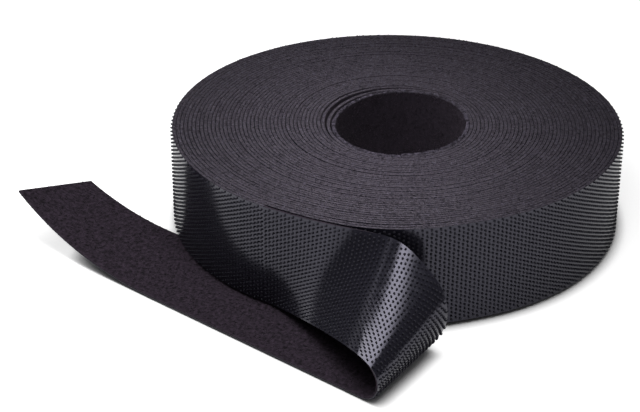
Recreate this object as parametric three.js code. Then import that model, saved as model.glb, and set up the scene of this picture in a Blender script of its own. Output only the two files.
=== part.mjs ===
// A roll of back-to-back hook and loop tape, without a core. The tape is two strips bonded
// together, a moulded hook film outside and a knitted loop fabric inside, wound on themselves.
// The tail peels off the outer turn, folds over and runs back along the floor, loop side up,
// under the roll's rim. Its cut end curls up beyond the roll.
// Millimetres, +Z up, standing on z = 0, centred on the box of the whole object.

import * as THREE from 'three';

const { degToRad } = THREE.MathUtils;

// The tape, measured through its thickness from the hook face.
const TAPE_WIDTH = 25;
const FILM_THICKNESS = 0.3;
const BOND_GAP = 0.1;
const FABRIC_THICKNESS = 0.5;

// The roll. Its turns stand at least the turn gap apart, so that each can be told from the next.
// The bore has no core to keep it round: it is this much longer along Y, and shorter along X.
const OUTER_RADIUS = 55.5;
const BORE_RADIUS = 17.6;
const BORE_OVAL = 1.2;
const TURN_GAP = 0.65;
const STEPS_PER_TURN = 22;
const OUTER_TURN_STEPS = 44;

// The way that the laid tail runs, seen from above from +X, and how far round from there the
// tape leaves the roll.
const TAIL_HEADING = degToRad(139.3);
const HEADING_TO_PEEL = degToRad(95.7);

// The roll stands on the laid tail at one side and on its own far edge at the other.
const UNDERLAP = 10.2;
const REST_GAP = 0.3;

// Lengths of strip that follow one another along the tape are parted by this much.
const CUT_GAP = 0.3;

// The peeled length: how far each edge runs on straight as it leaves the roll, and as it
// reaches the fold. The head edge comes down from the tape's width, so its run goes with that.
const FOOT_EDGE_LEAD = 8;
const HEAD_EDGE_LEAD = 35;
const FOOT_EDGE_RUN = 6;
const HEAD_EDGE_RUN = 0.64 * TAPE_WIDTH;
const PEEL_STEPS = 16;

// The fold is tight at the tail's front edge and wide at its rear edge, where its height goes
// with the tape's width. It leaves the floor past the place where the rear edge comes out from
// under the rim, and lags at the front edge.
const FRONT_FOLD_RADIUS = 5.1;
const REAR_FOLD_RADIUS = 0.432 * TAPE_WIDTH;
const FOLD_SWEEP = degToRad(145);
const RIM_TO_FOLD = 7.8;
const FOLD_SKEW = 6.4;
const FOLD_STEPS = 12;

// The free end bends up along a line that crosses the tape askew, past the other place where
// the rear edge comes out from under the rim. It is cut a little shorter at its rear edge.
const RIM_TO_BEND = 4;
const BEND_SKEW = 18;
const CURL_RADIUS = 64;
const FREE_LENGTH = 48;
const END_SKEW = 1;
const CURL_STEPS = 10;

const FABRIC_DEPTH = FILM_THICKNESS + BOND_GAP;
const TAPE_THICKNESS = FABRIC_DEPTH + FABRIC_THICKNESS;
const PEEL_ANGLE = TAIL_HEADING + HEADING_TO_PEEL;

// Floor directions of the laid tail: along it to its free end, and across it to the roll.
const along = new THREE.Vector3(Math.cos(TAIL_HEADING), Math.sin(TAIL_HEADING), 0);
const across = new THREE.Vector3(Math.sin(TAIL_HEADING), -Math.cos(TAIL_HEADING), 0);
const up = new THREE.Vector3(0, 0, 1);

// The laid tail's edges, across from the roll's axis, and half the chord that its rear edge
// cuts off the roll's outline.
const rearEdge = -(OUTER_RADIUS - UNDERLAP);
const frontEdge = rearEdge - TAPE_WIDTH;
const halfChord = Math.sqrt(OUTER_RADIUS ** 2 - rearEdge ** 2);

const hookFilm = new THREE.MeshStandardMaterial({ color: '#2e2d34', roughness: 0.35 });
const loopFabric = new THREE.MeshStandardMaterial({ color: '#2a2629', roughness: 0.95 });

// A weighted sum of directions.
function mix(...terms) {
  const sum = new THREE.Vector3();
  for (const [weight, direction] of terms) sum.addScaledVector(direction, weight);
  return sum;
}

// A station is one line across the hook face, from the foot edge to the head edge of the tape.
// An edge is given by its point and its heading along the tape, and gains its outward normal.
function station(footEdge, headEdge) {
  const width = headEdge.point.clone().sub(footEdge.point);
  return [footEdge, headEdge].map(({ point, heading }) => ({
    point,
    outward: heading.clone().cross(width).normalize(),
  }));
}

// A closed strip through the stations, between two depths below the hook face. Its two broad
// sides are split along the same diagonals, so that bonded strips stay parallel where they twist.
function stripGeometry(stations, outerDepth, innerDepth) {
  const position = [];
  const addCorner = ({ point, outward }, depth) => {
    position.push(...point.clone().addScaledVector(outward, -depth).toArray());
  };
  for (const [foot, head] of stations) {
    addCorner(foot, outerDepth);
    addCorner(head, outerDepth);
    addCorner(head, innerDepth);
    addCorner(foot, innerDepth);
  }
  const index = [0, 1, 2, 0, 2, 3];
  const innerSide = 2;
  for (let i = 0; i < stations.length - 1; i += 1) {
    for (let side = 0; side < 4; side += 1) {
      const a = 4 * i + side;
      const b = 4 * i + ((side + 1) % 4);
      if (side === innerSide) index.push(a, a + 4, b, a + 4, b + 4, b);
      else index.push(a, a + 4, b + 4, a, b + 4, b);
    }
  }
  const end = 4 * (stations.length - 1);
  index.push(end, end + 2, end + 1, end, end + 3, end + 2);
  const geometry = new THREE.BufferGeometry();
  geometry.setAttribute('position', new THREE.Float32BufferAttribute(position, 3));
  geometry.setIndex(index);
  return geometry;
}

// The two bonded strips of one length of tape.
function tapeMeshes(name, stations) {
  const film = new THREE.Mesh(stripGeometry(stations, 0, FILM_THICKNESS), hookFilm);
  film.name = `${name}_hook_film`;
  const fabric = new THREE.Mesh(stripGeometry(stations, FABRIC_DEPTH, TAPE_THICKNESS), loopFabric);
  fabric.name = `${name}_loop_fabric`;
  return [film, fabric];
}

// The winding: a spiral from the bore to the peel line, in whole turns at an even pitch. Its oval
// shape fades from the bore to the outside.
function windingStations() {
  const depth = OUTER_RADIUS - TAPE_THICKNESS - BORE_RADIUS;
  const turns = Math.floor((depth - BORE_OVAL) / (TAPE_THICKNESS + TURN_GAP));
  const stationAt = (turn) => {
    const angle = PEEL_ANGLE + 2 * Math.PI * turn;
    const oval = -BORE_OVAL * Math.cos(2 * angle) * (1 - turn / turns);
    const radius = BORE_RADIUS + TAPE_THICKNESS + (depth * turn) / turns + oval;
    const heading = new THREE.Vector3(-Math.sin(angle), Math.cos(angle), 0);
    const edge = (height) => ({
      point: new THREE.Vector3(radius * Math.cos(angle), radius * Math.sin(angle), height),
      heading,
    });
    return station(edge(0), edge(TAPE_WIDTH));
  };
  const stations = [];
  for (let turn = 0; turn < turns; turn += 1) {
    const steps = turn === turns - 1 ? OUTER_TURN_STEPS : STEPS_PER_TURN;
    for (let step = 0; step < steps; step += 1) stations.push(stationAt(turn + step / steps));
  }
  stations.push(stationAt(turns));
  return stations;
}

// The least distance from the winding's loop face to the hook face of the turns inside it,
// taken at the stations and halfway between them.
function leastTurnGap(stations) {
  const facePoints = (depth) => {
    const corners = stations.map(([foot]) => foot.point.clone().addScaledVector(foot.outward, -depth));
    return corners.slice(1).flatMap((corner, i) => [corners[i].clone().lerp(corner, 0.5), corner]);
  };
  const loopFace = facePoints(TAPE_THICKNESS);
  const hookFace = facePoints(0);
  const halfTurn = STEPS_PER_TURN;
  let least = Infinity;
  for (let i = halfTurn; i < loopFace.length; i += 1) {
    for (let j = 0; j <= i - halfTurn; j += 1) {
      least = Math.min(least, loopFace[i].distanceTo(hookFace[j]));
    }
  }
  return least;
}

// The roll leans by the height of the tail under it, over the span from that tail's rear edge
// to the roll's far edge, which stands on the floor.
function leaningRoll() {
  const roll = new THREE.Group();
  const lean = Math.atan((TAPE_THICKNESS + REST_GAP) / (OUTER_RADIUS - rearEdge));
  roll.setRotationFromAxisAngle(along, lean);
  roll.position.z = OUTER_RADIUS * Math.sin(lean);
  roll.updateMatrix();
  return roll;
}

// One edge of the fold, an arc that leaves the floor at a place along the tail and turns back
// over it. The heading is the way to the free end.
function foldEdge(start, edge, radius, turned) {
  return {
    point: mix(
      [start - radius * Math.sin(turned), along],
      [edge, across],
      [radius * (1 - Math.cos(turned)), up],
    ),
    heading: mix([Math.cos(turned), along], [-Math.sin(turned), up]),
  };
}

// Both edges of the fold, at an angle turned from the floor.
function foldEdges(turned) {
  const rearStart = -(halfChord + RIM_TO_FOLD);
  return [
    foldEdge(rearStart - FOLD_SKEW, frontEdge, FRONT_FOLD_RADIUS, turned),
    foldEdge(rearStart, rearEdge, REAR_FOLD_RADIUS, turned),
  ];
}

// One edge of the peeled length: a curve from the rim of the leaning roll to the fold's top.
function peeledEdge(roll, height, lead, run, foldTop) {
  const outward = new THREE.Vector3(Math.cos(PEEL_ANGLE), Math.sin(PEEL_ANGLE), 0);
  const heading = up.clone().cross(outward).transformDirection(roll.matrix);
  const rim = mix([OUTER_RADIUS, outward], [height, up]).applyMatrix4(roll.matrix);
  const start = rim.addScaledVector(heading, CUT_GAP);
  return new THREE.CubicBezierCurve3(
    start,
    start.clone().addScaledVector(heading, lead),
    foldTop.point.clone().addScaledVector(foldTop.heading, -run),
    foldTop.point,
  );
}

// One edge of the free end, at a length beyond the bend. The tape there lies on a cylinder that
// touches the floor along the bend, and short of the bend it lies flat.
function freeEdge(bend, edge, length) {
  const skew = Math.atan2(BEND_SKEW, TAPE_WIDTH);
  const bendLine = mix([Math.sin(skew), along], [Math.cos(skew), across]);
  const fromBend = mix([Math.cos(skew), along], [-Math.sin(skew), across]);
  const square = length * Math.cos(skew);
  const turned = Math.max(square, 0) / CURL_RADIUS;
  return {
    point: mix(
      [bend, along],
      [edge, across],
      [length * Math.sin(skew), bendLine],
      [Math.min(square, 0) + CURL_RADIUS * Math.sin(turned), fromBend],
      [CURL_RADIUS * (1 - Math.cos(turned)), up],
    ),
    heading: mix(
      [Math.sin(skew), bendLine],
      [Math.cos(skew) * Math.cos(turned), fromBend],
      [Math.cos(skew) * Math.sin(turned), up],
    ),
  };
}

// A line across the tape near the bend, by the length of each edge beyond it.
function freeStation(frontLength, rearLength) {
  const rearBend = halfChord + RIM_TO_BEND;
  return station(
    freeEdge(rearBend - BEND_SKEW, frontEdge, frontLength),
    freeEdge(rearBend, rearEdge, rearLength),
  );
}

// The tail from the peel line to the bend: the peeled length, the fold and the laid length.
function tailStations(roll) {
  const [frontTop, rearTop] = foldEdges(FOLD_SWEEP);
  const footCurve = peeledEdge(roll, 0, FOOT_EDGE_LEAD, FOOT_EDGE_RUN, frontTop);
  const headCurve = peeledEdge(roll, TAPE_WIDTH, HEAD_EDGE_LEAD, HEAD_EDGE_RUN, rearTop);
  const edgeAt = (curve, share) => ({ point: curve.getPoint(share), heading: curve.getTangent(share) });
  const stations = [];
  for (let i = 0; i < PEEL_STEPS; i += 1) {
    const share = i / PEEL_STEPS;
    stations.push(station(edgeAt(footCurve, share), edgeAt(headCurve, share)));
  }
  for (let i = FOLD_STEPS; i >= 0; i -= 1) {
    stations.push(station(...foldEdges((FOLD_SWEEP * i) / FOLD_STEPS)));
  }
  stations.push(freeStation(-CUT_GAP / 2, -CUT_GAP / 2));
  return stations;
}

// The free end, from the bend to its cut edge.
function freeEndStations() {
  const start = CUT_GAP / 2;
  const rearLength = FREE_LENGTH - BEND_SKEW - END_SKEW;
  const stations = [];
  for (let i = 0; i <= CURL_STEPS; i += 1) {
    const share = i / CURL_STEPS;
    stations.push(freeStation(
      THREE.MathUtils.lerp(start, FREE_LENGTH, share),
      THREE.MathUtils.lerp(start, rearLength, share),
    ));
  }
  return stations;
}

const winding = windingStations();
console.log(`least gap between turns: ${leastTurnGap(winding).toFixed(2)} mm`);

const roll = leaningRoll();
roll.add(...tapeMeshes('wound', winding));

const tapeRoll = new THREE.Group();
tapeRoll.add(
  roll,
  ...tapeMeshes('tail', tailStations(roll)),
  ...tapeMeshes('free_end', freeEndStations()),
);

const box = new THREE.Box3().setFromObject(tapeRoll, true);
const centre = box.getCenter(new THREE.Vector3());
tapeRoll.position.set(-centre.x, -centre.y, -box.min.z);

export default tapeRoll;
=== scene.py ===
"""A coreless roll of back-to-back hook and loop tape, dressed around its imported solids.

The tape is a moulded film with rows of hooks, bonded back to back to a brushed knit of loops.
It is wound hook side out. The tail peels off the outer turn, folds over and runs back along
the floor, loop side up, under the roll's rim, and its cut end curls up. Metres, +Z up.
"""

from __future__ import annotations

import logging
import math
from collections.abc import Callable
from dataclasses import dataclass, field, replace
from enum import Enum
from functools import partial
from typing import Any

import bmesh
import bpy
import numpy as np
from mathutils import Matrix, Vector

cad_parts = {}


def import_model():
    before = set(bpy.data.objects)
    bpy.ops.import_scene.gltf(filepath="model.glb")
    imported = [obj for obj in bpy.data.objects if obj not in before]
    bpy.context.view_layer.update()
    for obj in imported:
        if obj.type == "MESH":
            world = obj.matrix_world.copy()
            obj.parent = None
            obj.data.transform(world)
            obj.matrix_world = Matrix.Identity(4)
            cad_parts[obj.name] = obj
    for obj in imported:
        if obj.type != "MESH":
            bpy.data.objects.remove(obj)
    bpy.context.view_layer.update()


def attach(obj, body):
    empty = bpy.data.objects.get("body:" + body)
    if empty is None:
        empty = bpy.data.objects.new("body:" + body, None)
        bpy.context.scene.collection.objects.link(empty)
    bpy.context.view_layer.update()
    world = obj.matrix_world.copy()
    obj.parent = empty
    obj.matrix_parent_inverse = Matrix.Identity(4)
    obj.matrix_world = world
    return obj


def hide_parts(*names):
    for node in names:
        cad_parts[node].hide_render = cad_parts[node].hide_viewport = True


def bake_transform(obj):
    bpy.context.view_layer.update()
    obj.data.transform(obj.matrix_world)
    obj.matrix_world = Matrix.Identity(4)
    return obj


LOG = logging.getLogger("tape_roll")
MM = 0.001
UP = np.array((0.0, 0.0, 1.0))
WHITE = (1.0, 1.0, 1.0, 1.0)
SHARP_RIM = math.radians(40)


class Body(str, Enum):
    """The bodies that pieces ride on."""

    ROLL = "roll"
    FREE_END = "free_end"


class Slot(str, Enum):
    """The record's material slots."""

    HOOK = "hook_film"
    LOOP = "loop_fabric"


def linear(hex_colour: str) -> tuple[float, float, float, float]:
    """Turn an sRGB hex value to a linear colour.

    Args:
        hex_colour: Six hex digits after a hash sign.

    Returns:
        Red, green, blue and an alpha of one.
    """
    shares = [int(hex_colour[i : i + 2], 16) / 255 for i in (1, 3, 5)]
    red, green, blue = (
        s / 12.92 if s <= 0.04045 else ((s + 0.055) / 1.055) ** 2.4 for s in shares
    )
    return red, green, blue, 1.0


def add(
    tree: bpy.types.NodeTree,
    kind: str,
    *inputs: Any,
    named: dict[str, Any] | None = None,
    **settings: Any,
) -> bpy.types.Node:
    """Add a node with its settings and links.

    Args:
        tree: The tree that gets the node.
        kind: The node's type name.
        inputs: What the first sockets take, in order: a node, a socket, a value or None.
        named: What other sockets take, by the name of the socket in use.
        settings: The node's own properties.

    Returns:
        The new node.
    """
    node = tree.nodes.new(kind)
    for key, value in settings.items():
        setattr(node, key, value)
    pairs = list(zip(node.inputs, inputs))
    for name, value in (named or {}).items():
        socket = next(s for s in node.inputs if s.name == name and s.enabled)
        pairs.append((socket, value))
    for socket, value in pairs:
        if isinstance(value, bpy.types.Node):
            value = next(s for s in value.outputs if s.enabled)
        if isinstance(value, bpy.types.NodeSocket):
            tree.links.new(value, socket)
        elif value is not None:
            socket.default_value = value
    return node


def unit(vectors: np.ndarray) -> np.ndarray:
    """Scale each row to a length of one."""
    return vectors / np.linalg.norm(vectors, axis=-1, keepdims=True)


def run_of(points: np.ndarray) -> np.ndarray:
    """Give the distance along a line of points at each of them."""
    steps = np.linalg.norm(np.diff(points, axis=0), axis=1)
    return np.concatenate(([0.0], np.cumsum(steps)))


def looked_up(rows: np.ndarray, known: np.ndarray, runs: np.ndarray) -> np.ndarray:
    """Give vectors at other distances along a line than those where they are known."""
    return np.stack([np.interp(runs, known, rows[:, i]) for i in range(3)], axis=1)


@dataclass(frozen=True)
class TapeSection:
    """Depths through the tape, counted inwards from the solid's hook face."""

    width: float = 25 * MM
    thickness: float = 0.9 * MM
    hook_tips: float = -0.12 * MM
    film_face: float = 0.3 * MM
    film_back: float = 0.41 * MM
    fabric_back: float = 0.43 * MM
    loop_face: float = 0.82 * MM


TAPE = TapeSection()


@dataclass
class Edge:
    """One edge of a length of tape: its points and its headings along the tape."""

    points: np.ndarray
    ways: np.ndarray


@dataclass(frozen=True)
class RollPlace:
    """Where the roll stands, and how the laid tail runs under its rim."""

    axis_x: float = 19.511 * MM
    axis_y: float = 15.867 * MM
    outer_radius: float = 55.5 * MM
    swell: float = 0.7 * MM
    bore_radius: float = 17.6 * MM
    heading: float = math.radians(139.3)
    heading_to_peel: float = math.radians(95.7)
    underlap: float = 10.2 * MM
    rest_gap: float = 0.3 * MM

    @property
    def rim_radius(self) -> float:
        """The outer turn's radius, where it springs out a little from its solid."""
        return self.outer_radius + self.swell

    @property
    def peel_angle(self) -> float:
        """The direction from the axis to the line where the tape leaves the roll."""
        return self.heading + self.heading_to_peel

    @property
    def along(self) -> np.ndarray:
        """The way that the laid tail runs to its free end."""
        return np.array((math.cos(self.heading), math.sin(self.heading), 0.0))

    @property
    def across(self) -> np.ndarray:
        """The way over the laid tail to the roll."""
        return np.array((math.sin(self.heading), -math.cos(self.heading), 0.0))

    @property
    def rear_edge(self) -> float:
        """The laid tail's rear edge, across from the axis."""
        return -(self.outer_radius - self.underlap)

    @property
    def front_edge(self) -> float:
        """The laid tail's front edge, across from the axis."""
        return self.rear_edge - TAPE.width

    @property
    def half_chord(self) -> float:
        """Half the length of the rear edge that is under the rim."""
        return math.sqrt(self.outer_radius**2 - self.rear_edge**2)

    @property
    def origin(self) -> np.ndarray:
        """The foot of the roll's axis on the floor."""
        return np.array((self.axis_x, self.axis_y, 0.0))

    @property
    def lean(self) -> Matrix:
        """The roll's lean over the tail, as it stands on its far edge.

        Returns:
            The move from an upright roll at the origin to its place.
        """
        span = self.outer_radius - self.rear_edge
        angle = math.atan((TAPE.thickness + self.rest_gap) / span)
        turn = Matrix.Rotation(angle, 4, Vector(self.along))
        rise = self.outer_radius * math.sin(angle)
        return Matrix.Translation((self.axis_x, self.axis_y, rise)) @ turn

    def floor_points(
        self, along: np.ndarray, across: np.ndarray, height: np.ndarray
    ) -> np.ndarray:
        """Give points by their places along and across the laid tail.

        Args:
            along: Distances along the tail from the axis.
            across: Distances across it from the axis.
            height: Heights over the floor.

        Returns:
            One row of coordinates for each place.
        """
        flat = np.multiply.outer(along, self.along) + np.multiply.outer(across, self.across)
        return self.origin + flat + np.multiply.outer(height, UP)

    def rim(self, angles: np.ndarray, radii: np.ndarray, height: float) -> Edge:
        """Give points around the leaning roll, and the ways that the tape runs there.

        Args:
            angles: Directions from the axis.
            radii: Distances from the axis.
            height: The height on the roll.

        Returns:
            An edge that runs the way of the winding.
        """
        cosine, sine, flat = np.cos(angles), np.sin(angles), np.zeros_like(angles)
        turn = np.array(self.lean.to_3x3())
        points = np.stack((radii * cosine, radii * sine, flat + height), axis=1)
        ways = np.stack((-sine, cosine, flat), axis=1)
        return Edge(points @ turn.T + np.array(self.lean.translation), ways @ turn.T)


PLACE = RollPlace()


@dataclass
class Ribbon:
    """A length of tape, as lines across its hook face from the foot edge to the head edge."""

    foot: np.ndarray
    head: np.ndarray
    foot_out: np.ndarray
    head_out: np.ndarray

    @classmethod
    def between(cls, foot: Edge, head: Edge) -> Ribbon:
        """Make a ribbon from its two edges.

        Args:
            foot: The foot edge.
            head: The head edge.

        Returns:
            The ribbon, with its outward normals.
        """
        width = head.points - foot.points
        foot_out = unit(np.cross(foot.ways, width))
        head_out = unit(np.cross(head.ways, width))
        return cls(foot.points, head.points, foot_out, head_out)

    def joined(self, *others: Ribbon) -> Ribbon:
        """Run on into other ribbons.

        Args:
            others: The next ribbons, each starting where the one before it ends.

        Returns:
            One ribbon of all their lines.
        """
        parts = (self, *others)
        names = ("foot", "head", "foot_out", "head_out")
        return Ribbon(*(np.concatenate([getattr(p, n) for p in parts]) for n in names))

    @property
    def run(self) -> np.ndarray:
        """The distance along the middle of the tape at each line."""
        return run_of((self.foot + self.head) / 2)

    def face(self, depth: float, shares: np.ndarray) -> np.ndarray:
        """Give a grid of points on a face at one depth.

        Args:
            depth: The depth below the hook face.
            shares: Places across the tape, from 0 at the foot edge to 1 at the head edge.

        Returns:
            Coordinates by line and by place across.
        """
        spread = shares[None, :, None]
        points = self.foot[:, None] * (1 - spread) + self.head[:, None] * spread
        return points - depth * self.outward(shares)

    def outward(self, shares: np.ndarray) -> np.ndarray:
        """Give the outward normals by line and by place across."""
        spread = shares[None, :, None]
        return unit(self.foot_out[:, None] * (1 - spread) + self.head_out[:, None] * spread)

    def at(self, runs: np.ndarray) -> Ribbon:
        """Give the ribbon's lines at other distances along it.

        Args:
            runs: Distances along the middle of the tape.

        Returns:
            A ribbon with one line at each of them.
        """
        known = self.run
        return Ribbon(
            looked_up(self.foot, known, runs),
            looked_up(self.head, known, runs),
            unit(looked_up(self.foot_out, known, runs)),
            unit(looked_up(self.head_out, known, runs)),
        )


def new_piece(
    name: str, mesh: bpy.types.Mesh, material: bpy.types.Material
) -> bpy.types.Object:
    """Put a mesh in the scene as a piece of one material.

    Args:
        name: The piece's name.
        mesh: Its mesh, in its place.
        material: Its finish.

    Returns:
        The new object, at the origin.
    """
    mesh.name = name
    mesh.materials.clear()
    mesh.materials.append(material)
    piece = bpy.data.objects.new(name, mesh)
    bpy.context.scene.collection.objects.link(piece)
    return piece


def grid_faces(rows: int, columns: int, start: int, flipped: bool) -> list[tuple[int, ...]]:
    """List the quads of a grid of points.

    Args:
        rows: Lines of points.
        columns: Points in each line.
        start: The first point's number.
        flipped: Whether the faces turn their backs.

    Returns:
        Corner numbers for each quad.
    """
    faces = []
    for i in range(rows - 1):
        for j in range(columns - 1):
            a = start + i * columns + j
            quad = (a, a + columns, a + columns + 1, a + 1)
            faces.append(quad[::-1] if flipped else quad)
    return faces


def strip_mesh(ribbon: Ribbon, outer: float, inner: float, columns: int) -> bpy.types.Mesh:
    """Make a closed strip between two depths of a ribbon.

    Args:
        ribbon: The tape that the strip is a layer of.
        outer: The depth of its outer face.
        inner: The depth of its inner face.
        columns: Points across the tape.

    Returns:
        A smooth mesh with sharp rims, whose UV map is in metres along and across the tape.
    """
    shares = np.linspace(0, 1, columns)
    rows = len(ribbon.foot)
    count = rows * columns
    corners = np.concatenate(
        [ribbon.face(depth, shares).reshape(-1, 3) for depth in (outer, inner)]
    )
    faces = grid_faces(rows, columns, 0, False) + grid_faces(rows, columns, count, True)
    for i in range(rows - 1):
        for j, flipped in ((0, False), (columns - 1, True)):
            a = i * columns + j
            quad = (a, a + count, a + count + columns, a + columns)
            faces.append(quad[::-1] if flipped else quad)
    for j in range(columns - 1):
        for i, flipped in ((0, True), (rows - 1, False)):
            a = i * columns + j
            quad = (a, a + count, a + count + 1, a + 1)
            faces.append(quad[::-1] if flipped else quad)
    mesh = bpy.data.meshes.new("strip")
    mesh.from_pydata(corners.tolist(), [], faces)
    along = np.repeat(ribbon.run, columns)
    over = np.tile(shares * TAPE.width, rows)
    lay_uv(mesh, np.tile(np.stack((along, over), axis=1), (2, 1)))
    smooth(mesh)
    return mesh


def lay_uv(mesh: bpy.types.Mesh, places: np.ndarray) -> None:
    """Give a mesh a UV map.

    Args:
        mesh: The mesh.
        places: A place on the map for each of its vertices.
    """
    layer = mesh.uv_layers.new(name="UVMap")
    corners = np.zeros(len(mesh.loops), np.int32)
    mesh.loops.foreach_get("vertex_index", corners)
    layer.data.foreach_set("uv", places[corners].astype(np.float32).ravel())


def smooth(mesh: bpy.types.Mesh) -> None:
    """Shade a mesh smooth, with its rims sharp and its faces outwards.

    Args:
        mesh: A closed mesh.
    """
    shell = bmesh.new()
    shell.from_mesh(mesh)
    bmesh.ops.recalc_face_normals(shell, faces=shell.faces)
    if shell.calc_volume(signed=True) < 0:
        bmesh.ops.reverse_faces(shell, faces=shell.faces)
    shell.to_mesh(mesh)
    shell.free()
    mesh.shade_smooth()
    mesh.set_sharp_from_angle(angle=SHARP_RIM)
    mesh.update()


def open_sheet(ribbon: Ribbon, depth: float, columns: int) -> bpy.types.Mesh:
    """Make a single face of a ribbon, turned inwards, to carry what grows on it.

    Args:
        ribbon: The tape.
        depth: The face's depth.
        columns: Points across the tape.

    Returns:
        An open mesh.
    """
    points = ribbon.face(depth, np.linspace(0, 1, columns)).reshape(-1, 3)
    mesh = bpy.data.meshes.new("carrier")
    mesh.from_pydata(points.tolist(), [], grid_faces(len(ribbon.foot), columns, 0, True))
    return mesh


def new_tree(name: str, sizes: dict[str, str]) -> tuple[bpy.types.NodeTree, bpy.types.Node]:
    """Start a geometry tree with a geometry input, named sizes and a material.

    Args:
        name: The tree's name.
        sizes: The type of each named input.

    Returns:
        The tree and its input node.
    """
    tree = bpy.data.node_groups.new(name, "GeometryNodeTree")
    tree.interface.new_socket("Geometry", in_out="INPUT", socket_type="NodeSocketGeometry")
    for label, kind in {**sizes, "Finish": "NodeSocketMaterial"}.items():
        tree.interface.new_socket(label, in_out="INPUT", socket_type=kind)
    tree.interface.new_socket("Geometry", in_out="OUTPUT", socket_type="NodeSocketGeometry")
    return tree, add(tree, "NodeGroupInput")


def end_tree(
    tree: bpy.types.NodeTree, geometry: bpy.types.Node, source: bpy.types.Node
) -> None:
    """Close a geometry tree: make its instances real and give them the finish.

    Args:
        tree: The tree.
        geometry: The node that the tree's geometry comes from.
        source: The tree's input node.
    """
    real = add(tree, "GeometryNodeRealizeInstances", geometry)
    finish = {"Material": source.outputs["Finish"]}
    dressed = add(tree, "GeometryNodeSetMaterial", real, named=finish)
    add(tree, "NodeGroupOutput", dressed)


def grown(
    carrier: bpy.types.Mesh, tree: bpy.types.NodeTree, sizes: dict[str, Any]
) -> bpy.types.Mesh:
    """Run a geometry tree on a carrier.

    Args:
        carrier: The mesh that the tree starts from, which is used up.
        tree: The tree.
        sizes: A value for each of its named inputs.

    Returns:
        The result as a plain mesh.
    """
    holder = bpy.data.objects.new("carrier", carrier)
    bpy.context.scene.collection.objects.link(holder)
    modifier = holder.modifiers.new("grow", "NODES")
    modifier.node_group = tree
    for item in tree.interface.items_tree:
        if item.in_out == "INPUT" and item.name in sizes:
            modifier[item.identifier] = sizes[item.name]
    graph = bpy.context.evaluated_depsgraph_get()
    graph.update()
    mesh = bpy.data.meshes.new_from_object(
        holder.evaluated_get(graph), preserve_all_data_layers=True, depsgraph=graph
    )
    bpy.data.objects.remove(holder)
    bpy.data.meshes.remove(carrier)
    return mesh


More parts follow.
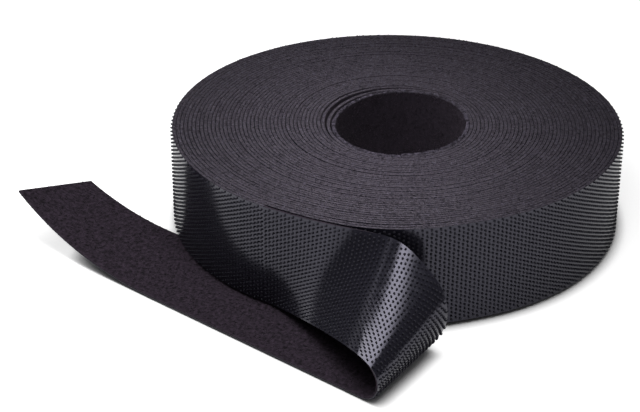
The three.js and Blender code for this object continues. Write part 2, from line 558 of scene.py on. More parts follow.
def wound_strip_tree() -> bpy.types.NodeTree:
    """Make the tree of a strip wound in a spiral, with its inner turns pressed out of round.

    Returns:
        A tree that needs no geometry to start from.
    """
    reals = (
        *("Turns", "Pitch", "First Radius", "End Angle", "Thickness", "Width"),
        *("Oval", "Offset", "Offset Way"),
        *("Slack", "Slack Way", "Slack Start", "Slack End", "Slack Fade"),
        *("Pull", "Pull Start", "Pull Span", "Pull Fade"),
        *("Wander", "Wander Rate", "Wander Detail"),
    )
    tree, source = new_tree(
        "wound_strip", {"Steps": "NodeSocketInt", **dict.fromkeys(reals, "NodeSocketFloat")}
    )
    size = source.outputs
    sums = "ShaderNodeMath"
    line = add(tree, "GeometryNodeCurvePrimitiveLine")
    points = add(
        tree, "GeometryNodeResampleCurve", line, named={"Count": size["Steps"]}, mode="COUNT"
    )
    share = add(tree, "GeometryNodeSplineParameter")
    turn = add(tree, sums, share, size["Turns"], operation="MULTIPLY")
    to_go = add(tree, sums, size["Turns"], turn, operation="SUBTRACT")
    swing = add(tree, sums, to_go, math.tau, operation="MULTIPLY")
    angle = add(tree, sums, size["End Angle"], swing, operation="SUBTRACT")
    round_radius = add(
        tree, sums, turn, size["Pitch"], size["First Radius"], operation="MULTIPLY_ADD"
    )

    # Out of round: longest along Y and set off to one side, less and less towards the outside.
    doubled = add(tree, sums, angle, 2.0, operation="MULTIPLY")
    wave = add(tree, sums, doubled, operation="COSINE")
    squeeze = add(tree, sums, wave, size["Oval"], operation="MULTIPLY")
    aside = add(tree, sums, angle, size["Offset Way"], operation="SUBTRACT")
    side = add(tree, sums, aside, operation="COSINE")
    shift = add(tree, sums, side, size["Offset"], operation="MULTIPLY")
    bent = add(tree, sums, shift, squeeze, operation="SUBTRACT")
    inward = add(tree, sums, 1.0, share, operation="SUBTRACT")
    pressed = add(tree, sums, bent, inward, round_radius, operation="MULTIPLY_ADD")

    # The first turns hang slack, away from the side where each lies against the next.
    loose = add(
        tree,
        "ShaderNodeMapRange",
        turn,
        size["Slack Start"],
        size["Slack End"],
        1.0,
        0.0,
        interpolation_type="SMOOTHSTEP",
    )
    turned = add(tree, sums, angle, size["Slack Way"], operation="SUBTRACT")
    facing = add(tree, sums, turned, operation="COSINE")
    away = add(tree, sums, facing, -0.5, 0.5, operation="MULTIPLY_ADD")
    far = add(tree, sums, away, size["Slack Fade"], operation="POWER")
    drop = add(tree, sums, far, size["Slack"], operation="MULTIPLY")
    fall = add(tree, sums, drop, loose, operation="MULTIPLY")
    slackened = add(tree, sums, pressed, fall, operation="SUBTRACT")

    # The leaving tail's hold pulls the outer turns out a little, past the peel line.
    past = add(tree, sums, angle, size["Pull Start"], operation="SUBTRACT")
    wrapped = add(tree, sums, past, math.tau, 0.0, operation="WRAP")
    spread = add(tree, sums, wrapped, size["Pull Span"], operation="DIVIDE")
    within = add(tree, sums, spread, 1.0, operation="MINIMUM")
    arc = add(tree, sums, within, math.pi, operation="MULTIPLY")
    bow = add(tree, sums, arc, operation="SINE")
    bulge = add(tree, sums, bow, bow, operation="MULTIPLY")
    faded = add(tree, sums, share, size["Pull Fade"], operation="POWER")
    pulled = add(tree, sums, bulge, faded, operation="MULTIPLY")
    radius = add(tree, sums, pulled, size["Pull"], slackened, operation="MULTIPLY_ADD")

    cosine = add(tree, sums, angle, operation="COSINE")
    sine = add(tree, sums, angle, operation="SINE")
    x = add(tree, sums, radius, cosine, operation="MULTIPLY")
    y = add(tree, sums, radius, sine, operation="MULTIPLY")
    noise = add(
        tree,
        "ShaderNodeTexNoise",
        named={"W": turn, "Scale": size["Wander Rate"], "Detail": size["Wander Detail"]},
        noise_dimensions="1D",
    )
    centred = add(tree, sums, noise, 0.5, operation="SUBTRACT")
    rise = add(tree, sums, centred, size["Wander"], operation="MULTIPLY")
    middle = add(tree, sums, size["Width"], 0.5, rise, operation="MULTIPLY_ADD")
    place = add(tree, "ShaderNodeCombineXYZ", x, y, middle)
    spiral = add(tree, "GeometryNodeSetPosition", points, named={"Position": place})
    upright = add(tree, "GeometryNodeSetCurveNormal", spiral, mode="Z_UP")
    marked = add(
        tree,
        "GeometryNodeStoreNamedAttribute",
        upright,
        named={"Name": "run", "Value": share.outputs["Length"]},
        data_type="FLOAT",
        domain="POINT",
    )
    section = add(
        tree,
        "GeometryNodeCurvePrimitiveQuadrilateral",
        named={"Width": size["Thickness"], "Height": size["Width"]},
    )
    strip = add(tree, "GeometryNodeCurveToMesh", marked, section, named={"Fill Caps": True})
    run = add(tree, "GeometryNodeInputNamedAttribute", "run", data_type="FLOAT")
    position = add(tree, "GeometryNodeInputPosition")
    parts = add(tree, "ShaderNodeSeparateXYZ", position)
    chart = add(tree, "ShaderNodeCombineXYZ", run, parts.outputs["Z"])
    charted = add(
        tree,
        "GeometryNodeStoreNamedAttribute",
        strip,
        named={"Name": "UVMap", "Value": chart},
        data_type="FLOAT2",
        domain="CORNER",
    )
    end_tree(tree, charted, source)
    return tree


def hook_rows_tree() -> bpy.types.NodeTree:
    """Make the tree that stands one hook on each point, by the point's own directions.

    Returns:
        A tree for points that know which way is out and which way the tape runs.
    """
    tree, source = new_tree("hook_rows", {"Hook": "NodeSocketObject"})
    hook = add(tree, "GeometryNodeObjectInfo", source.outputs["Hook"])
    outward = add(tree, "GeometryNodeInputNamedAttribute", "out", data_type="FLOAT_VECTOR")
    heading = add(tree, "GeometryNodeInputNamedAttribute", "way", data_type="FLOAT_VECTOR")
    raised = add(
        tree, "FunctionNodeAlignRotationToVector", named={"Vector": outward}, axis="Z"
    )
    turned = add(
        tree,
        "FunctionNodeAlignRotationToVector",
        named={"Rotation": raised, "Vector": heading},
        axis="X",
        pivot_axis="Z",
    )
    hooks = add(
        tree,
        "GeometryNodeInstanceOnPoints",
        source.outputs["Geometry"],
        named={"Instance": hook.outputs["Geometry"], "Rotation": turned},
    )
    end_tree(tree, hooks, source)
    return tree


def fibre_tree() -> bpy.types.NodeTree:
    """Make the tree that scatters small loops of yarn over a face.

    Returns:
        A tree that leaves out the face itself.
    """
    reals = ("Density", "Yarn Radius", "Tilt", "Smallest", "Largest")
    tree, source = new_tree(
        "fibres",
        {
            "Seed": "NodeSocketInt",
            **dict.fromkeys(("Start", "Crown", "End"), "NodeSocketVector"),
            **dict.fromkeys(reals, "NodeSocketFloat"),
        },
    )
    size = source.outputs
    arch_steps, yarn_sides = 2, 3
    scattered = add(
        tree,
        "GeometryNodeDistributePointsOnFaces",
        size["Geometry"],
        named={"Density": size["Density"], "Seed": size["Seed"]},
        distribute_method="RANDOM",
    )
    arch = add(
        tree,
        "GeometryNodeCurveQuadraticBezier",
        arch_steps,
        size["Start"],
        size["Crown"],
        size["End"],
    )
    yarn = add(
        tree,
        "GeometryNodeCurvePrimitiveCircle",
        yarn_sides,
        named={"Radius": size["Yarn Radius"]},
    )
    loop = add(tree, "GeometryNodeCurveToMesh", arch, yarn)
    least = add(tree, "ShaderNodeMath", size["Tilt"], -1.0, operation="MULTIPLY")
    low = add(tree, "ShaderNodeCombineXYZ", least, least, 0.0)
    high = add(tree, "ShaderNodeCombineXYZ", size["Tilt"], size["Tilt"], math.tau)
    spin = add(
        tree,
        "FunctionNodeRandomValue",
        named={"Min": low, "Max": high, "Seed": size["Seed"]},
        data_type="FLOAT_VECTOR",
    )
    turn = add(tree, "FunctionNodeEulerToRotation", spin)
    facing = add(
        tree,
        "FunctionNodeRotateRotation",
        scattered.outputs["Rotation"],
        turn,
        rotation_space="LOCAL",
    )
    growth = add(
        tree,
        "FunctionNodeRandomValue",
        named={"Min": size["Smallest"], "Max": size["Largest"], "Seed": size["Seed"]},
        data_type="FLOAT",
    )
    pile = add(
        tree,
        "GeometryNodeInstanceOnPoints",
        scattered,
        named={"Instance": loop, "Rotation": facing, "Scale": growth},
    )
    end_tree(tree, pile, source)
    return tree


def new_material(
    name: str, values: dict[str, Any]
) -> tuple[bpy.types.Material, bpy.types.NodeTree, bpy.types.bpy_prop_collection]:
    """Start a material from what is the same all over the surface.

    Args:
        name: The material's name.
        values: A value for each of the shader's named sockets.

    Returns:
        The material, its tree and the shader's sockets.
    """
    material = bpy.data.materials.new(name)
    material.use_nodes = True
    sockets = material.node_tree.nodes["Principled BSDF"].inputs
    for label, value in values.items():
        sockets[label].default_value = value
    return material, material.node_tree, sockets


@dataclass(frozen=True)
class MouldedNylon:
    """Moulded black nylon: the film's smooth skin mirrors the room, the hooks are duller."""

    name: str
    colour: str
    roughness: float
    shine: float
    tint: str = "#ece9ff"
    roughness_spread: float = 0.04
    ior: float = 1.56
    ripple_size: float = 1.6 * MM
    ripple_detail: float = 3.0
    ripple_span: tuple[float, float] = (0.3, 0.7)
    ripple_depth: float = 0.002 * MM

    def material(self) -> bpy.types.Material:
        """Make the nylon's material.

        Returns:
            A material whose gloss changes a little over a faint ripple.
        """
        material, tree, sockets = new_material(
            self.name,
            {
                "Base Color": linear(self.colour),
                "IOR": self.ior,
                "Specular IOR Level": self.shine,
                "Specular Tint": linear(self.tint),
            },
        )
        place = add(tree, "ShaderNodeTexCoord")
        cloud = add(
            tree,
            "ShaderNodeTexNoise",
            named={
                "Vector": place.outputs["Object"],
                "Scale": 1 / self.ripple_size,
                "Detail": self.ripple_detail,
            },
        )
        smoothest = self.roughness - self.roughness_spread
        dullest = self.roughness + self.roughness_spread
        dull = add(tree, "ShaderNodeMapRange", cloud, *self.ripple_span, smoothest, dullest)
        bump = add(
            tree,
            "ShaderNodeBump",
            named={"Height": cloud, "Strength": 1.0, "Distance": self.ripple_depth},
        )
        tree.links.new(dull.outputs[0], sockets["Roughness"])
        tree.links.new(bump.outputs[0], sockets["Normal"])
        return material


@dataclass(frozen=True)
class LoopKnit:
    """Brushed black nylon knit: matt, mottled by its tufts, and paler along its cut edges, a
    painted highlight where the rims catch light.
    """

    name: str
    dark: str
    pale: str
    # The edge pair is a painted highlight along both edges of the tape.
    edge_highlight_dark: str
    edge_highlight_pale: str
    roughness: float = 0.92
    shine: float = 0.2
    sheen: float = 0.25
    sheen_roughness: float = 0.5
    sheen_colour: str = "#6d636e"
    tuft_size: float = 0.55 * MM
    tuft_detail: float = 4.0
    course_pitch: float = 0.6 * MM
    course_length: float = 2.4 * MM
    course_detail: float = 2.0
    course_share: float = 0.35
    relief: float = 0.1 * MM
    relief_span: tuple[float, float] = (0.34, 0.66)
    edge_highlight_reach: float = 0.35 * MM

    def material(self) -> bpy.types.Material:
        """Make the fabric's material.

        Returns:
            A matt material whose tufts and courses follow the UV map.
        """
        material, tree, sockets = new_material(
            self.name,
            {
                "Roughness": self.roughness,
                "Specular IOR Level": self.shine,
                "Sheen Weight": self.sheen,
                "Sheen Tint": linear(self.sheen_colour),
                "Sheen Roughness": self.sheen_roughness,
            },
        )
        place = add(tree, "ShaderNodeTexCoord")
        tufts = add(
            tree,
            "ShaderNodeTexNoise",
            named={
                "Vector": place.outputs["Object"],
                "Scale": 1 / self.tuft_size,
                "Detail": self.tuft_detail,
            },
        )
        stretch = (1 / self.course_pitch, 1 / self.course_length, 1.0)
        knitted = add(tree, "ShaderNodeMapping", place.outputs["UV"], named={"Scale": stretch})
        courses = add(
            tree,
            "ShaderNodeTexNoise",
            named={"Vector": knitted, "Scale": 1.0, "Detail": self.course_detail},
        )
        relief = add(
            tree,
            "ShaderNodeMix",
            named={"Factor": self.course_share, "A": tufts, "B": courses},
            data_type="FLOAT",
        )
        height = add(tree, "ShaderNodeMapRange", relief, *self.relief_span, 0.0, 1.0)
        shades = [
            add(
                tree,
                "ShaderNodeMix",
                named={"Factor": height, "A": linear(low), "B": linear(high)},
                data_type="RGBA",
            )
            for low, high in ((self.dark, self.pale), (self.edge_highlight_dark, self.edge_highlight_pale))
        ]
        # Near both edges the colour turns to the paler pair: a painted highlight for the light
        # that the rims catch.
        over = add(tree, "ShaderNodeSeparateXYZ", place.outputs["UV"])
        half = TAPE.width / 2
        centred = add(
            tree, "ShaderNodeMath", over.outputs["Y"], half, operation="SUBTRACT"
        )
        from_middle = add(tree, "ShaderNodeMath", centred, operation="ABSOLUTE")
        cut = add(
            tree, "ShaderNodeMapRange", from_middle, half - self.edge_highlight_reach, half, 0.0, 1.0
        )
        colour = add(
            tree,
            "ShaderNodeMix",
            named={"Factor": cut, "A": shades[0], "B": shades[1]},
            data_type="RGBA",
        )
        bump = add(
            tree,
            "ShaderNodeBump",
            named={"Height": relief, "Strength": 1.0, "Distance": self.relief},
        )
        result = next(s for s in colour.outputs if s.enabled)
        tree.links.new(result, sockets["Base Color"])
        tree.links.new(bump.outputs[0], sockets["Normal"])
        return material


@dataclass(frozen=True)
class LooseYarn:
    """Fine black nylon yarn: each fibre catches a little light along its side."""

    name: str
    dark: str
    pale: str
    shine: float
    # Clumps of fibres, drawn a little coarser than real ones so that they show.
    patch_size: float
    patch_detail: float = 2.0
    patch_span: tuple[float, float] = (0.35, 0.65)
    roughness: float = 0.7

    def material(self) -> bpy.types.Material:
        """Make the yarn's material.

        Returns:
            A material whose shade changes from one fibre to the next.
        """
        material, tree, sockets = new_material(
            self.name, {"Roughness": self.roughness, "Specular IOR Level": self.shine}
        )
        place = add(tree, "ShaderNodeTexCoord")
        patches = add(
            tree,
            "ShaderNodeTexNoise",
            named={
                "Vector": place.outputs["Object"],
                "Scale": 1 / self.patch_size,
                "Detail": self.patch_detail,
            },
        )
        ramp = add(tree, "ShaderNodeValToRGB", patches)
        stops = zip(ramp.color_ramp.elements, self.patch_span, (self.dark, self.pale))
        for stop, position, colour in stops:
            stop.position = position
            stop.color = linear(colour)
        tree.links.new(ramp.outputs[0], sockets["Base Color"])
        return material


@dataclass
class Finishes:
    """The materials of the tape."""

    film: bpy.types.Material
    hooks: bpy.types.Material
    wound_knit: bpy.types.Material
    tail_knit: bpy.types.Material
    pile: bpy.types.Material
    fringe: bpy.types.Material

    @classmethod
    def made(cls) -> Finishes:
        """Make every material of the tape.

        Returns:
            The materials, each under its own name.
        """
        looks = {
            "film": MouldedNylon("moulded_nylon_film", "#22212a", roughness=0.17, shine=0.5),
            "hooks": MouldedNylon("moulded_nylon_hooks", "#29282f", roughness=0.45, shine=0.22),
            "wound_knit": LoopKnit(
                "wound_nylon_knit",
                dark="#171319",
                pale="#29232b",
                # Painted highlight along the top rims.
                edge_highlight_dark="#201c22",
                edge_highlight_pale="#3f3b42",
                sheen=0.1,
            ),
            "tail_knit": LoopKnit(
                "laid_nylon_knit",
                dark="#130e14",
                pale="#3d323f",
                # Painted highlight along the tail's edges.
                edge_highlight_dark="#2a232b",
                edge_highlight_pale="#443a46",
                # Brushed into clumps, drawn coarser than single tufts so that they show.
                tuft_size=0.9 * MM,
            ),
            "pile": LooseYarn(
                "loop_pile_yarn", "#19131a", "#4e4350", shine=0.3, patch_size=0.9 * MM
            ),
            "fringe": LooseYarn(
                "cut_edge_yarn", "#1b181e", "#524d59", shine=0.1, patch_size=1.0 * MM
            ),
        }
        return cls(**{name: look.material() for name, look in looks.items()})


@dataclass
class HookPattern:
    """The hooks of the film: their staggered grid and the shape of one."""

    rows: int = 24
    row_pitch: float = 1.015 * MM
    column_pitch: float = 1.06 * MM
    edge: float = 0.58 * MM
    breadth: float = 0.36 * MM
    tip_breadth: float = 0.3 * MM
    tree: bpy.types.NodeTree = field(default_factory=hook_rows_tree)

    def shares(self, odd: bool) -> np.ndarray:
        """Give the rows' places across the tape, half a row further in each odd column."""
        first = self.edge + (self.row_pitch / 2 if odd else 0.0)
        return (first + np.arange(self.rows) * self.row_pitch) / TAPE.width

    def shape(self) -> bpy.types.Object:
        """Make one hook, which stands on the film at the origin and bends along X.

        Returns:
            An object for the instances.
        """
        tall = TAPE.film_face - TAPE.hook_tips
        # Each ring of the stem: place along the tape, height and half thickness, over the height.
        rings = np.array(
            (
                (-0.14, -0.05, 0.38),
                (-0.12, 0.45, 0.28),
                (0.0, 0.78, 0.24),
                (0.36, 0.84, 0.2),
                (0.62, 0.56, 0.12),
            )
        )
        heading = unit(np.gradient(rings[:, :2], axis=0))
        side = np.stack((heading[:, 1], -heading[:, 0]), axis=1)
        breadths = np.linspace(self.breadth, self.tip_breadth, len(rings)) / 2
        corners: list[tuple[float, float, float]] = []
        for ring, over, half in zip(rings, side, breadths):
            for way, turn in ((1, -1), (1, 1), (-1, 1), (-1, -1)):
                x, z = (ring[:2] + way * ring[2] * over) * tall
                corners.append((x, turn * half, z))
        faces: list[tuple[int, ...]] = []
        for i in range(len(rings) - 1):
            for j in range(4):
                a, b = 4 * i + j, 4 * i + (j + 1) % 4
                faces.append((a, b, b + 4, a + 4))
        last = 4 * (len(rings) - 1)
        faces.append((last, last + 1, last + 2, last + 3))
        mesh = bpy.data.meshes.new("hook")
        mesh.from_pydata(corners, [], faces)
        shell = bmesh.new()
        shell.from_mesh(mesh)
        bmesh.ops.recalc_face_normals(shell, faces=shell.faces)
        shell.to_mesh(mesh)
        shell.free()
        mesh.shade_smooth()
        hook = bpy.data.objects.new("hook", mesh)
        bpy.context.scene.collection.objects.link(hook)
        return hook

    def stand_on(
        self, name: str, ribbon: Ribbon, material: bpy.types.Material
    ) -> bpy.types.Object:
        """Stand rows of hooks on a ribbon's film, every other row facing back.

        Args:
            name: The piece's name.
            ribbon: The tape.
            material: The hooks' finish.

        Returns:
            The hooks as one piece.
        """
        length = ribbon.run[-1]
        step = length / (2 * round(length / (2 * self.column_pitch)))
        end_room = step / 4
        places, outs, ways = [], [], []
        for odd in (False, True):
            shares = self.shares(odd)
            face, outward = ribbon.face(TAPE.film_face, shares), ribbon.outward(shares)
            for row in range(self.rows):
                known = run_of(face[:, row])
                runs = np.arange(step * (0.5 + odd), known[-1] - end_room, 2 * step)
                points = looked_up(face[:, row], known, runs)
                places.append(points)
                outs.append(unit(looked_up(outward[:, row], known, runs)))
                ways.append(unit(np.gradient(points, axis=0)) * (-1) ** row)
        carrier = bpy.data.meshes.new("hook_places")
        carrier.from_pydata(np.concatenate(places).tolist(), [], [])
        for label, rows in (("out", outs), ("way", ways)):
            layer = carrier.attributes.new(label, "FLOAT_VECTOR", "POINT")
            layer.data.foreach_set("vector", np.concatenate(rows).astype(np.float32).ravel())
        hook = self.shape()
        mesh = grown(carrier, self.tree, {"Hook": hook, "Finish": material})
        bpy.data.objects.remove(hook)
        return new_piece(name, mesh, material)


@dataclass(frozen=True)
class YarnGrowth:
    """Small loops of yarn, scattered over a face of the fabric."""

    density: float
    span: float
    height: float
    yarn: float
    tilt: float
    seed: int
    lean: float = 0.2
    smallest: float = 0.6
    largest: float = 1.3

    def grow_on(
        self,
        name: str,
        face: bpy.types.Mesh,
        tree: bpy.types.NodeTree,
        material: bpy.types.Material,
    ) -> bpy.types.Object:
        """Grow the yarn.

        Args:
            name: The piece's name.
            face: The carrier, which is used up.
            tree: The tree that scatters the loops.
            material: The yarn's finish.

        Returns:
            The yarn as one piece.
        """
        mesh = grown(
            face,
            tree,
            {
                "Density": self.density,
                "Seed": self.seed,
                "Start": (-self.span / 2, 0.0, 0.0),
                "Crown": (self.lean * self.span, 0.0, 2 * self.height),
                "End": (self.span / 2, 0.0, 0.0),
                "Yarn Radius": self.yarn / 2,
                "Tilt": self.tilt,
                "Smallest": self.smallest,
                "Largest": self.largest,
                "Finish": material,
            },
        )
        mesh.shade_smooth()
        return new_piece(name, mesh, material)


PILE = YarnGrowth(
    density=3.9 / MM**2, span=0.42 * MM, height=0.15 * MM, yarn=0.08 * MM, tilt=0.5, seed=22
)


@dataclass
class Winding:
    """The roll: both strips wound to the peel line, with what shows of their surfaces."""

    finishes: Finishes
    hooks: HookPattern
    fibres: bpy.types.NodeTree
    turns: float = 40.9
    steps_per_turn: int = 84
    seam: float = 0.08 * MM
    oval: float = 1.2 * MM
    offset: float = 0.8 * MM
    offset_way: float = math.radians(-40)
    slack: float = 2.5 * MM
    slack_way: float = math.radians(-52)
    slack_start: float = 0.4
    slack_end: float = 3.4
    slack_fade: float = 4.0
    pull: float = 1.8 * MM
    pull_lead: float = math.radians(3.5)
    pull_span: float = math.radians(51.5)
    pull_fade: float = 6.0
    wander: float = 0.35 * MM
    wander_rate: float = 1.3
    wander_detail: float = 3.0
    rings: int = 5
    outer_lines: int = 360
    half_lines: int = 181
    upward: float = 0.8
    inward: float = 0.7
    fringe: YarnGrowth = YarnGrowth(
        density=7.0 / MM**2, span=0.45 * MM, height=0.16 * MM, yarn=0.09 * MM, tilt=0.9, seed=11
    )
    bore_fringe: YarnGrowth = YarnGrowth(
        density=24.0 / MM**2, span=0.6 * MM, height=0.2 * MM, yarn=0.1 * MM, tilt=0.9, seed=13
    )
    bore_pile: YarnGrowth = replace(PILE, density=4.0 / MM**2, seed=12)

    @property
    def pitch(self) -> float:
        """The distance from one turn to the next."""
        return (PLACE.rim_radius - TAPE.thickness - PLACE.bore_radius) / self.turns

    @property
    def length(self) -> float:
        """The length of the wound tape."""
        return math.pi * (PLACE.rim_radius + PLACE.bore_radius) * self.turns

    @property
    def first_turn(self) -> float:
        """The length of the innermost turn."""
        return math.tau * PLACE.bore_radius

    @property
    def packed_face(self) -> float:
        """The depth of the loops' face, packed into the next turn's hooks."""
        return TAPE.film_face + self.pitch - self.seam

    def strip(
        self,
        name: str,
        tree: bpy.types.NodeTree,
        depths: tuple[float, float],
        material: bpy.types.Material,
    ) -> bpy.types.Object:
        """Wind one strip.

        Args:
            name: The piece's name.
            tree: The tree that winds it.
            depths: The depths of its outer and inner faces.
            material: Its finish.

        Returns:
            The strip as one piece.
        """
        outer, inner = depths
        mesh = grown(
            bpy.data.meshes.new("start"),
            tree,
            {
                "Steps": round(self.turns * self.steps_per_turn) + 1,
                "Turns": self.turns,
                "Pitch": self.pitch,
                "First Radius": PLACE.bore_radius + TAPE.thickness - (outer + inner) / 2,
                "End Angle": PLACE.peel_angle,
                "Thickness": inner - outer,
                "Width": TAPE.width,
                "Oval": self.oval,
                "Offset": self.offset,
                "Offset Way": self.offset_way,
                "Slack": self.slack,
                "Slack Way": self.slack_way,
                "Slack Start": self.slack_start,
                "Slack End": self.slack_end,
                "Slack Fade": self.slack_fade,
                "Pull": self.pull,
                "Pull Start": PLACE.peel_angle + self.pull_lead,
                "Pull Span": self.pull_span,
                "Pull Fade": self.pull_fade,
                "Wander": self.wander,
                "Wander Rate": self.wander_rate,
                "Wander Detail": self.wander_detail,
                "Finish": material,
            },
        )
        mesh.transform(PLACE.lean)
        smooth(mesh)
        return new_piece(name, mesh, material)

    def outer_turn(self) -> Ribbon:
        """Give the last turn, with the same bow as the wound strips.

        Returns:
            A ribbon that ends at the peel line.
        """
        to_go = np.linspace(1, 0, self.outer_lines)
        angles = PLACE.peel_angle - to_go * math.tau
        past = np.mod(angles - PLACE.peel_angle - self.pull_lead, math.tau)
        bow = np.sin(math.pi * np.minimum(past / self.pull_span, 1))
        pulled = self.pull * bow**2 * (1 - to_go / self.turns) ** self.pull_fade
        radii = PLACE.rim_radius - to_go * self.pitch + pulled
        return Ribbon.between(
            PLACE.rim(angles, radii, 0.0), PLACE.rim(angles, radii, TAPE.width)
        )

    def on_rim(self, face: bmesh.types.BMFace, run: float, ring: int) -> bool:
        """Tell whether a face is on the upward rim, in one of several equal lengths of it."""
        place = min(int(run / self.length * self.rings), self.rings - 1)
        return face.normal.z > self.upward and place == ring

    def on_first_rim(self, face: bmesh.types.BMFace, run: float) -> bool:
        """Tell whether a face is on the first turn's upward rim."""
        return face.normal.z > self.upward and run < self.first_turn

    def in_bore(self, face: bmesh.types.BMFace, run: float) -> bool:
        """Tell whether a face is on the first turn's inner side.

        Args:
            face: A face of the wound fabric.
            run: Its distance along the strip.

        Returns:
            True where the face looks into the bore.
        """
        to_axis = Vector(PLACE.origin[:2]) - face.calc_center_median().xy
        faces_axis = to_axis.dot(face.normal.xy) > self.inward * to_axis.length
        return run < self.first_turn and faces_axis

    def part_of(
        self, fabric: bpy.types.Object, kept: Callable[[bmesh.types.BMFace, float], bool]
    ) -> bpy.types.Mesh:
        """Copy some of the wound fabric's faces, to carry what grows on them.

        Args:
            fabric: The wound fabric.
            kept: Whether a face is kept, by the face and its distance along the strip.

        Returns:
            An open mesh of those faces.
        """
        shell = bmesh.new()
        shell.from_mesh(fabric.data)
        shell.normal_update()
        chart = shell.loops.layers.uv["UVMap"]
        dropped = [f for f in shell.faces if not kept(f, f.loops[0][chart].uv.x)]
        bmesh.ops.delete(shell, geom=dropped, context="FACES")
        mesh = bpy.data.meshes.new("carrier")
        shell.to_mesh(mesh)
        shell.free()
        return mesh

    def tufts(self, fabric: bpy.types.Object) -> list[bpy.types.Object]:
        """Grow the yarn that shows on the wound fabric: along its top rims and in the bore.

        Args:
            fabric: The wound fabric.

        Returns:
            The yarn's pieces.
        """
        plan = [
            (
                f"wound_fringe_{ring + 1}",
                self.fringe,
                partial(self.on_rim, ring=ring),
                self.finishes.fringe,
            )
            for ring in range(self.rings)
        ]
        plan += [
            ("bore_fringe", self.bore_fringe, self.on_first_rim, self.finishes.fringe),
            ("bore_pile", self.bore_pile, self.in_bore, self.finishes.pile),
        ]
        return [
            growth.grow_on(name, self.part_of(fabric, kept), self.fibres, finish)
            for name, growth, kept, finish in plan
        ]

    def build(self) -> list[bpy.types.Object]:
        """Build and place the roll's pieces.

        Returns:
            Every piece of the roll.
        """
        tree = wound_strip_tree()
        film = self.strip(
            "wound_film", tree, (TAPE.film_face, TAPE.film_back), self.finishes.film
        )
        fabric = self.strip(
            "wound_fabric", tree, (TAPE.fabric_back, self.packed_face), self.finishes.wound_knit
        )
        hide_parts("wound_hook_film")
        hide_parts("wound_loop_fabric")
        outer = self.outer_turn()
        length = outer.run[-1]
        halves = {
            "wound_hooks_first": np.linspace(0, length / 2, self.half_lines),
            "wound_hooks_last": np.linspace(length / 2, length, self.half_lines),
        }
        hooks = [
            self.hooks.stand_on(name, outer.at(runs), self.finishes.hooks)
            for name, runs in halves.items()
        ]
        tufts = self.tufts(fabric)
        for piece in (film, *hooks):
            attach(piece, Body.ROLL.value)
        for piece in (fabric, *tufts):
            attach(piece, Body.ROLL.value)
        return [film, fabric, *hooks, *tufts]


@dataclass(frozen=True)
class EdgeLeave:
    """How an edge leaves the roll: how far it clings to the rim, then runs straight each way."""

    cling: float
    lead: float
    run: float


